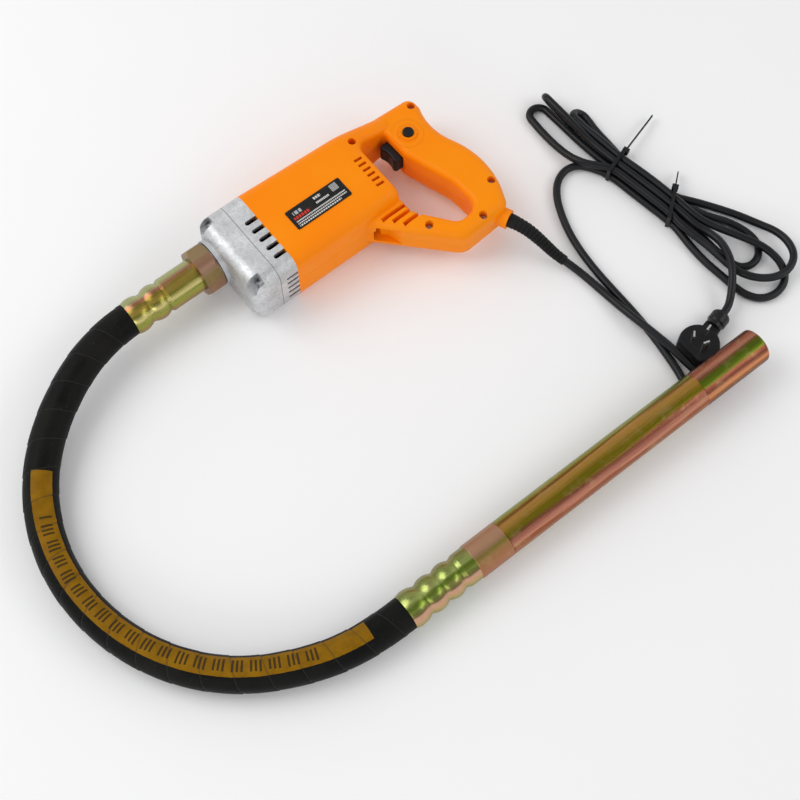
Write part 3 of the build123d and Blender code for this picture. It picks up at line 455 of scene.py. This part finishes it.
# chromate finishes with painted reflections and highlights laid round each part
node_materials = {
    "poker_ferrule": plating_and_painted_reflections("poker_ferrule_plating_and_reflections", POKER_AXIS, FERRULE_GREEN, 0.1),
    "poker_connector": plating_and_painted_reflections(
        "poker_connector_plating_and_reflections", POKER_AXIS, CONNECTOR_TAN, low=0.34, high=0.48,
    ),
    "poker_tube": plating_and_painted_reflections("poker_tube_plating_and_reflections", POKER_AXIS, TUBE_STRIPES),
    "poker_tip": plating_and_painted_reflections("poker_tip_plating_and_reflections", POKER_AXIS, TIP_STRIPES, 0.03),
    "coupling_nut": plating_and_painted_reflections("nut_plating_and_reflections", MOTOR_AXIS, NUT_BROWN, 0.12, low=0.3, high=0.48),
}
for row in frame["record"]["subparts"]:
    piece = frame["nodes"][row["node"]]
    finish = node_materials.get(row["node"], slot_materials[row["material_slot"]])
    piece.data.materials.clear()
    piece.data.materials.append(finish)


# ---------------------------------------------------------------- making pieces
def in_metres(points):
    return [(x / 1000, y / 1000, z / 1000) for x, y, z in points]


def add_to_tool(piece, slot, *nodes):
    """Add a piece that rides on the tool and replaces these nodes; slot is not used."""
    scene.collection.objects.link(piece)
    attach(piece, "tool")
    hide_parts(*nodes)


def open_spline(name, points, radius=0.0, resolution=10):
    """A curve of one open NURBS spline that has these points as its control points."""
    curve = bpy.data.curves.new(name, "CURVE")
    curve.dimensions = "3D"
    curve.resolution_u = resolution
    spline = curve.splines.new("NURBS")
    spline.points.add(len(points) - 1)
    for control, point in zip(spline.points, points):
        control.co = (*point, 1)
    spline.order_u = 3
    spline.use_endpoint_u = True
    curve.bevel_depth = radius
    curve.bevel_resolution = 5
    curve.use_fill_caps = radius > 0
    return bpy.data.objects.new(name, curve)


def line_of(points, resolution):
    """The points that a route's NURBS spline runs through."""
    piece = open_spline("route", points, resolution=resolution)
    mesh = bpy.data.meshes.new_from_object(piece)
    line = [vertex.co.copy() for vertex in mesh.vertices]
    bpy.data.objects.remove(piece)
    bpy.data.meshes.remove(mesh)
    return line


def skinned(name, mesh, rings, material, uv=None):
    """A closed, smooth object through these rings of vertices, with uv(ring, place) if given."""
    layer = mesh.loops.layers.uv.new("run") if uv else None
    around = len(rings[0])
    for i, (first, second) in enumerate(zip(rings, rings[1:])):
        for k in range(around):
            n = (k + 1) % around
            face = mesh.faces.new((first[k], first[n], second[n], second[k]))
            face.smooth = True
            if uv:
                corners = ((i, k), (i, k + 1), (i + 1, k + 1), (i + 1, k))
                for loop, corner in zip(face.loops, corners):
                    loop[layer].uv = uv(*corner)
    mesh.faces.new(rings[0][::-1])
    mesh.faces.new(rings[-1])
    bmesh.ops.recalc_face_normals(mesh, faces=mesh.faces)
    data = bpy.data.meshes.new(name)
    mesh.to_mesh(data)
    mesh.free()
    data.materials.append(material)
    return bpy.data.objects.new(name, data)


def tube_along(name, line, radius_at, material, segments=64):
    """A tube round a line. radius_at(s, angle, length) is its radius, and its UV is (s, angle).

    s is the distance along the line, and the angle is 0 on top.
    """
    runs = [0.0]
    for a, b in zip(line, line[1:]):
        runs.append(runs[-1] + (b - a).length)

    def angle_of(k):
        return 2 * pi * k / segments - pi

    mesh = bmesh.new()
    rings = []
    for i, centre in enumerate(line):
        forward = (line[min(i + 1, len(line) - 1)] - line[max(i - 1, 0)]).normalized()
        side = Vector((0, 0, 1)).cross(forward).normalized()
        top = forward.cross(side)
        ring = []
        for k in range(segments):
            angle = angle_of(k)
            radius = radius_at(runs[i], angle, runs[-1])
            ring.append(mesh.verts.new(centre + radius * (cos(angle) * top + sin(angle) * side)))
        rings.append(ring)
    return skinned(name, mesh, rings, material, uv=lambda i, k: (runs[i], angle_of(k)))


# ---------------------------------------------------------------- hose
# out of the rear ferrule, down to the floor and round to the poker
HOSE_RADIUS = 0.0165
WRAP_STEP = 0.00035                 # each turn of the cloth wrap ends in a small step
WRAP_EDGE = 0.06                    # the share of a turn that the groove beside it takes
HOSE_ROUTE = in_metres([
    (-204.4, 21, 35), (-222, 21, 35), (-257, 13.5, 34.2), (-289, -0.5, 32), (-321, -20, 28),
    (-349.5, -45.5, 23.5), (-371.8, -77, 19.5), (-386.8, -115, 17.2), (-392.8, -157, 16.6),
    (-388.5, -202.5, 16.6), (-374, -246, 16.6), (-350, -284.5, 16.6), (-318, -315.5, 16.6),
    (-280.5, -337, 16.6), (-243.5, -351.3, 16.6), (-204, -357.5, 16.6), (-176, -358, 17.4),
])


def wrapped_radius(s, angle, _length):
    """The outside of the cloth wrap."""
    turn = ((s + WRAP_LEAN * angle) / WRAP_PITCH) % 1
    groove = WRAP_STEP if turn < WRAP_EDGE else 0.0
    return HOSE_RADIUS - WRAP_STEP * (1 - turn) - groove


hose_line = line_of(HOSE_ROUTE, 24)
hose = tube_along("wrapped_hose", hose_line, wrapped_radius, hose_rubber())
add_to_tool(hose, "hose_rubber", "hose")

# ---------------------------------------------------------------- strain relief
# a ribbed sleeve that tapers towards the cord
RELIEF_ROUTE = in_metres([
    (144, -120, 35), (148.4, -130.1, 35), (153.5, -142, 31), (159.5, -156.5, 21),
    (163.8, -168, 12.6), (167.8, -178.3, 8.8),
])
RELIEF_START, RELIEF_TAPER = 0.0072, 0.0021
RELIEF_COLLAR, RELIEF_LIP = 0.006, 0.005        # plain lengths at its two ends
RIB_PITCH, RIB_GAP, RIB_DEPTH = 0.0042, 0.32, 0.0011
RIB_BRIDGE = 0.3                                # half the plain strip on each side; radians


def relief_radius(s, angle, length):
    taper = RELIEF_START - RELIEF_TAPER * s / length
    plain = s < RELIEF_COLLAR or s > length - RELIEF_LIP
    bridge = abs(abs(angle) - pi / 2) < RIB_BRIDGE
    # the slots below lie half a pitch from those above
    rib = (s / RIB_PITCH + (0.5 if abs(angle) > pi / 2 else 0)) % 1
    return taper if plain or bridge or rib > RIB_GAP else taper - RIB_DEPTH


relief_rubber = soft_black("relief_rubber", (0.004, 0.004, 0.004), 0.45, 0.6, 900, specular=0.2)
relief = tube_along(
    "ribbed_strain_relief", line_of(RELIEF_ROUTE, 24), relief_radius, relief_rubber, segments=40,
)
add_to_tool(relief, "cord_rubber", "strain_relief")

# ---------------------------------------------------------------- mains cord
# two strands to the fold under the poker, then the tied hank and the tail to the plug
CORD_RADIUS = 0.0039
PLUG_BOOT_TIP = (247.4, -317.6, 9.8)
LOW, HIGH = 4.1, 12.1               # heights of the cord on the floor and on another strand
# (x, y) of each place along the tied part of the hank, and the turn of the line across it
UPPER_TIE, BETWEEN_TIES, LOWER_TIE = (281.4, -127.5, 17), (287.0, -163.0, 27), (291.5, -198.0, 37)


def through_ties(z, upper, between, lower, climbing=False):
    """Three points of a run that passes under both ties, at these offsets across the hank."""
    points = []
    for (x, y, turn), offset in (
        (UPPER_TIE, upper), (BETWEEN_TIES, between), (LOWER_TIE, lower),
    ):
        points.append((x + offset * cos(radians(turn)), y + offset * sin(radians(turn)), z))
    return points[::-1] if climbing else points


CORD_ROUTE = in_metres([
    (167.8, -178.3, 8.8), (172.6, -190.7, 4.2), (174.8, -208, 4), (176.6, -230, 4.4),
    (177, -252, 8.2), (178.4, -273, 11.8), (181.4, -295, 12.2), (184.2, -312, 10.6),
    (186.1, -328, 7.2), (187.6, -343, 4.9), (192, -356, 4), (187.5, -368.5, 4),
    (175.5, -370, 4), (168.5, -359, 4), (171.5, -346, 4), (175.8, -331, 4), (178.8, -313, 4),
    (181.6, -295, 4), (183.8, -273, 4), (184.9, -250, 4), (185.4, -226, 4), (186.4, -203, 4),
    (189, -180, 4), (193.8, -157, 4), (202, -135, 4), (211.5, -117, 4), (223.5, -104, 4),
    (237.5, -98.5, 4.2), (250.5, -101, 4.4), (260, -110.5, 4.1),
    *through_ties(LOW, -11.4, -13.5, -14),
    # long lower loop
    (280.5, -219.6, 4.1), (277.4, -242.2, 4.1), (276.6, -264.7, 4.1), (278.5, -283.4, 4.1),
    (279.5, -299.4, 4.1), (282.2, -315.3, 4.1), (291.9, -328.8, 4.1), (309, -333.1, 4.1),
    (325.5, -326.7, 4.1), (332.1, -312.5, 8), (330.1, -294.2, 12), (324.7, -277.7, 12.1),
    (315.6, -259.6, 12.1), (306.5, -241.2, 12.1), (300.5, -223.3, 12.1),
    *through_ties(HIGH, 7.6, 9, 9.3, climbing=True),
    # upright fold at the top, on the right
    (287.8, -112.4, 12.1), (286, -94.3, 12.8), (284, -78.5, 12.8), (283.5, -66.9, 12.8),
    (283.5, -60.1, 12.8), (287.6, -55.3, 10.3), (293.4, -55.3, 6.7), (297.5, -60.1, 4.1),
    (297.3, -66.9, 4.1), (294.5, -84, 4.1), (294, -107, 4.1),
    *through_ties(LOW, 11.4, 13.5, 14),
    # widest lower loop
    (315.6, -206.9, 4.1), (326.3, -224, 4.1), (338, -243.8, 4.1), (346.5, -265.1, 5.5),
    (352.9, -283.8, 9), (352.1, -301.6, 12), (345.5, -316.1, 12.1), (330.3, -323.5, 12.1),
    (314.6, -321.5, 12.1), (301.6, -312.6, 12.1), (292.6, -300.3, 12.1), (288.5, -286.4, 12.1),
    (287.7, -269.8, 12.1), (287.1, -254, 12.1), (284.5, -237, 12.1), (282.6, -219, 12.1),
    *through_ties(HIGH, -7.6, -9, -9.3, climbing=True),
    # wide upper loop, on the left
    (264.8, -119.1, 12.1), (254.7, -106.2, 12.1), (250.2, -90, 9), (250.1, -68.8, 5),
    (250.8, -46, 4.1), (251.8, -36, 4.1), (252.2, -28.1, 4.1), (257.7, -22.8, 4.1),
    (265.5, -22.8, 4.1), (271, -28.3, 4.1), (271.5, -36.5, 4.1), (272, -53.4, 4.1),
    (272.6, -77.5, 4.1), (274.2, -102.5, 4.1),
    *through_ties(LOW, -3.8, -4.5, -4.7),
    # short lower loop
    (292.4, -218.6, 4.1), (293.6, -239.1, 4.1), (293.5, -258.4, 4.1), (294.7, -274.8, 4.1),
    (298, -289, 4.1), (309, -295.2, 4.1), (322.8, -292.2, 4.1), (332, -280.3, 4.1),
    (332.3, -264.9, 4.1), (326.3, -245.8, 4.1), (314, -227, 4.1), (306.5, -209, 4.1),
    *through_ties(LOW, 3.8, 4.5, 4.7, climbing=True),
    # tall upper fold
    (283.5, -109.8, 4.1), (282.3, -86.8, 4.1), (281.3, -66.3, 4.1), (281, -47, 4.1),
    (281, -35.6, 4.1), (281, -28.5, 4.1), (279, -23.5, 8.6), (276, -23.5, 15),
    (274, -28.5, 19.5), (274, -35.6, 19.5), (274.1, -50, 19.5),
    (275.2, -68.7, 17.5), (277.6, -92, 12.1), (279.6, -113, 12.1),
    *through_ties(HIGH, 0, 0, 0),
    # over the loops and down to the plug
    (293, -212, 12.1), (293.5, -228.5, 12.1), (298, -243, 12.1), (298.5, -260.1, 15.5),
    (291.8, -276.7, 20), (284.3, -289.1, 20.4), (276.6, -298.1, 18.5), (269.1, -305.6, 14.5),
    (262.5, -311.5, 11.3), (255.2, -315.8, 9.8),
    PLUG_BOOT_TIP,
])
cord = open_spline("mains_cord", CORD_ROUTE, CORD_RADIUS, 12)
cord.data.materials.append(slot_materials["cord_rubber"])
add_to_tool(cord, "cord_rubber", "cord_lead", "cord_hank", "cord_tail")


# ---------------------------------------------------------------- springs
SPRING_WIRE = 0.0005


def coil_spring(name, node, turns):
    """A wire spring in place of its plain CAD sleeve."""
    low, high = (Vector(corner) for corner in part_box(node))
    centre, length = (low + high) / 2, high.z - low.z - SPRING_WIRE
    radius = (high.x - low.x) / 2 - SPRING_WIRE / 2
    steps = 24 * turns
    mesh = bmesh.new()
    rings = []
    for i in range(steps + 1):
        angle = 2 * pi * turns * i / steps
        out = Vector((cos(angle), sin(angle), 0))
        rise = low.z + SPRING_WIRE / 2 + length * i / steps
        middle = Vector((centre.x, centre.y, rise)) + out * radius
        rings.append([
            mesh.verts.new(middle + (out * cos(a) + Vector((0, 0, sin(a)))) * SPRING_WIRE / 2)
            for a in (2 * pi * k / 8 for k in range(8))
        ])
    piece = skinned(name, mesh, rings, slot_materials["steel"])
    add_to_tool(piece, "steel", node)
    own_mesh(piece)


coil_spring("lock_coil", "lock_spring", 4)
coil_spring(
    "upper_brush_coil", "upper_brush_spring", 6,
)
coil_spring(
    "lower_brush_coil", "lower_brush_spring", 6,
)


# ---------------------------------------------------------------- floor and light
FLOOR_HALF = 6.0
FLOOR_DROP = 0.0004                 # keeps the floor clear of the lowest faces


def floor():
    m = Shading("floor", Specular_IOR_Level=0.2)
    m.colour(m.mix(m.noise(6, 3), (0.955, 0.955, 0.955), (0.975, 0.975, 0.975)))
    m.gloss(m.span(m.noise(12, 2), 0.3, 0.7, 0.75, 0.85))
    mesh = bpy.data.meshes.new("floor")
    corners = [(x * FLOOR_HALF, y * FLOOR_HALF, 0) for x, y in ((-1, -1), (1, -1), (1, 1), (-1, 1))]
    mesh.from_pydata(corners, [], [(0, 1, 2, 3)])
    mesh.materials.append(m.material)
    piece = bpy.data.objects.new("floor", mesh)
    piece.location.z = -FLOOR_DROP
    scene.collection.objects.link(piece)


def lamp(name, place, aim, size, energy):
    data = bpy.data.lights.new(name, "AREA")
    data.shape = "RECTANGLE"
    data.size, data.size_y = size
    data.energy = energy
    piece = bpy.data.objects.new(name, data)
    piece.location = place
    piece.rotation_euler = (Vector(aim) - Vector(place)).to_track_quat("-Z", "Y").to_euler()
    scene.collection.objects.link(piece)


def studio():
    """Even white light that falls off a little towards straight above."""
    world = bpy.data.worlds.new("studio")
    world.use_nodes = True
    nodes, links = world.node_tree.nodes, world.node_tree.links
    sky = nodes.new("ShaderNodeTexCoord")
    split = nodes.new("ShaderNodeSeparateXYZ")
    shade = nodes.new("ShaderNodeValToRGB")
    low, high = shade.color_ramp.elements
    low.position, low.color = 0.0, (1, 1, 1, 1)
    high.position, high.color = 0.85, (0.55, 0.55, 0.56, 1)
    links.new(sky.outputs["Generated"], split.inputs[0])
    links.new(split.outputs["Z"], shade.inputs["Fac"])
    links.new(shade.outputs["Color"], nodes["Background"].inputs["Color"])
    nodes["Background"].inputs["Strength"].default_value = 0.92
    scene.world = world
    scene.view_settings.view_transform = "Standard"


floor()
lamp("key", (-0.9, 0.9, 1.6), (0, -0.1, 0), (1.4, 1.4), 15)
lamp("fill", (1.4, -1.4, 1.5), (0, -0.15, 0), (1.6, 0.8), 8)
lamp("low", (-1.5, -1.3, 0.8), (0, -0.15, 0), (1.2, 0.4), 4)
studio()
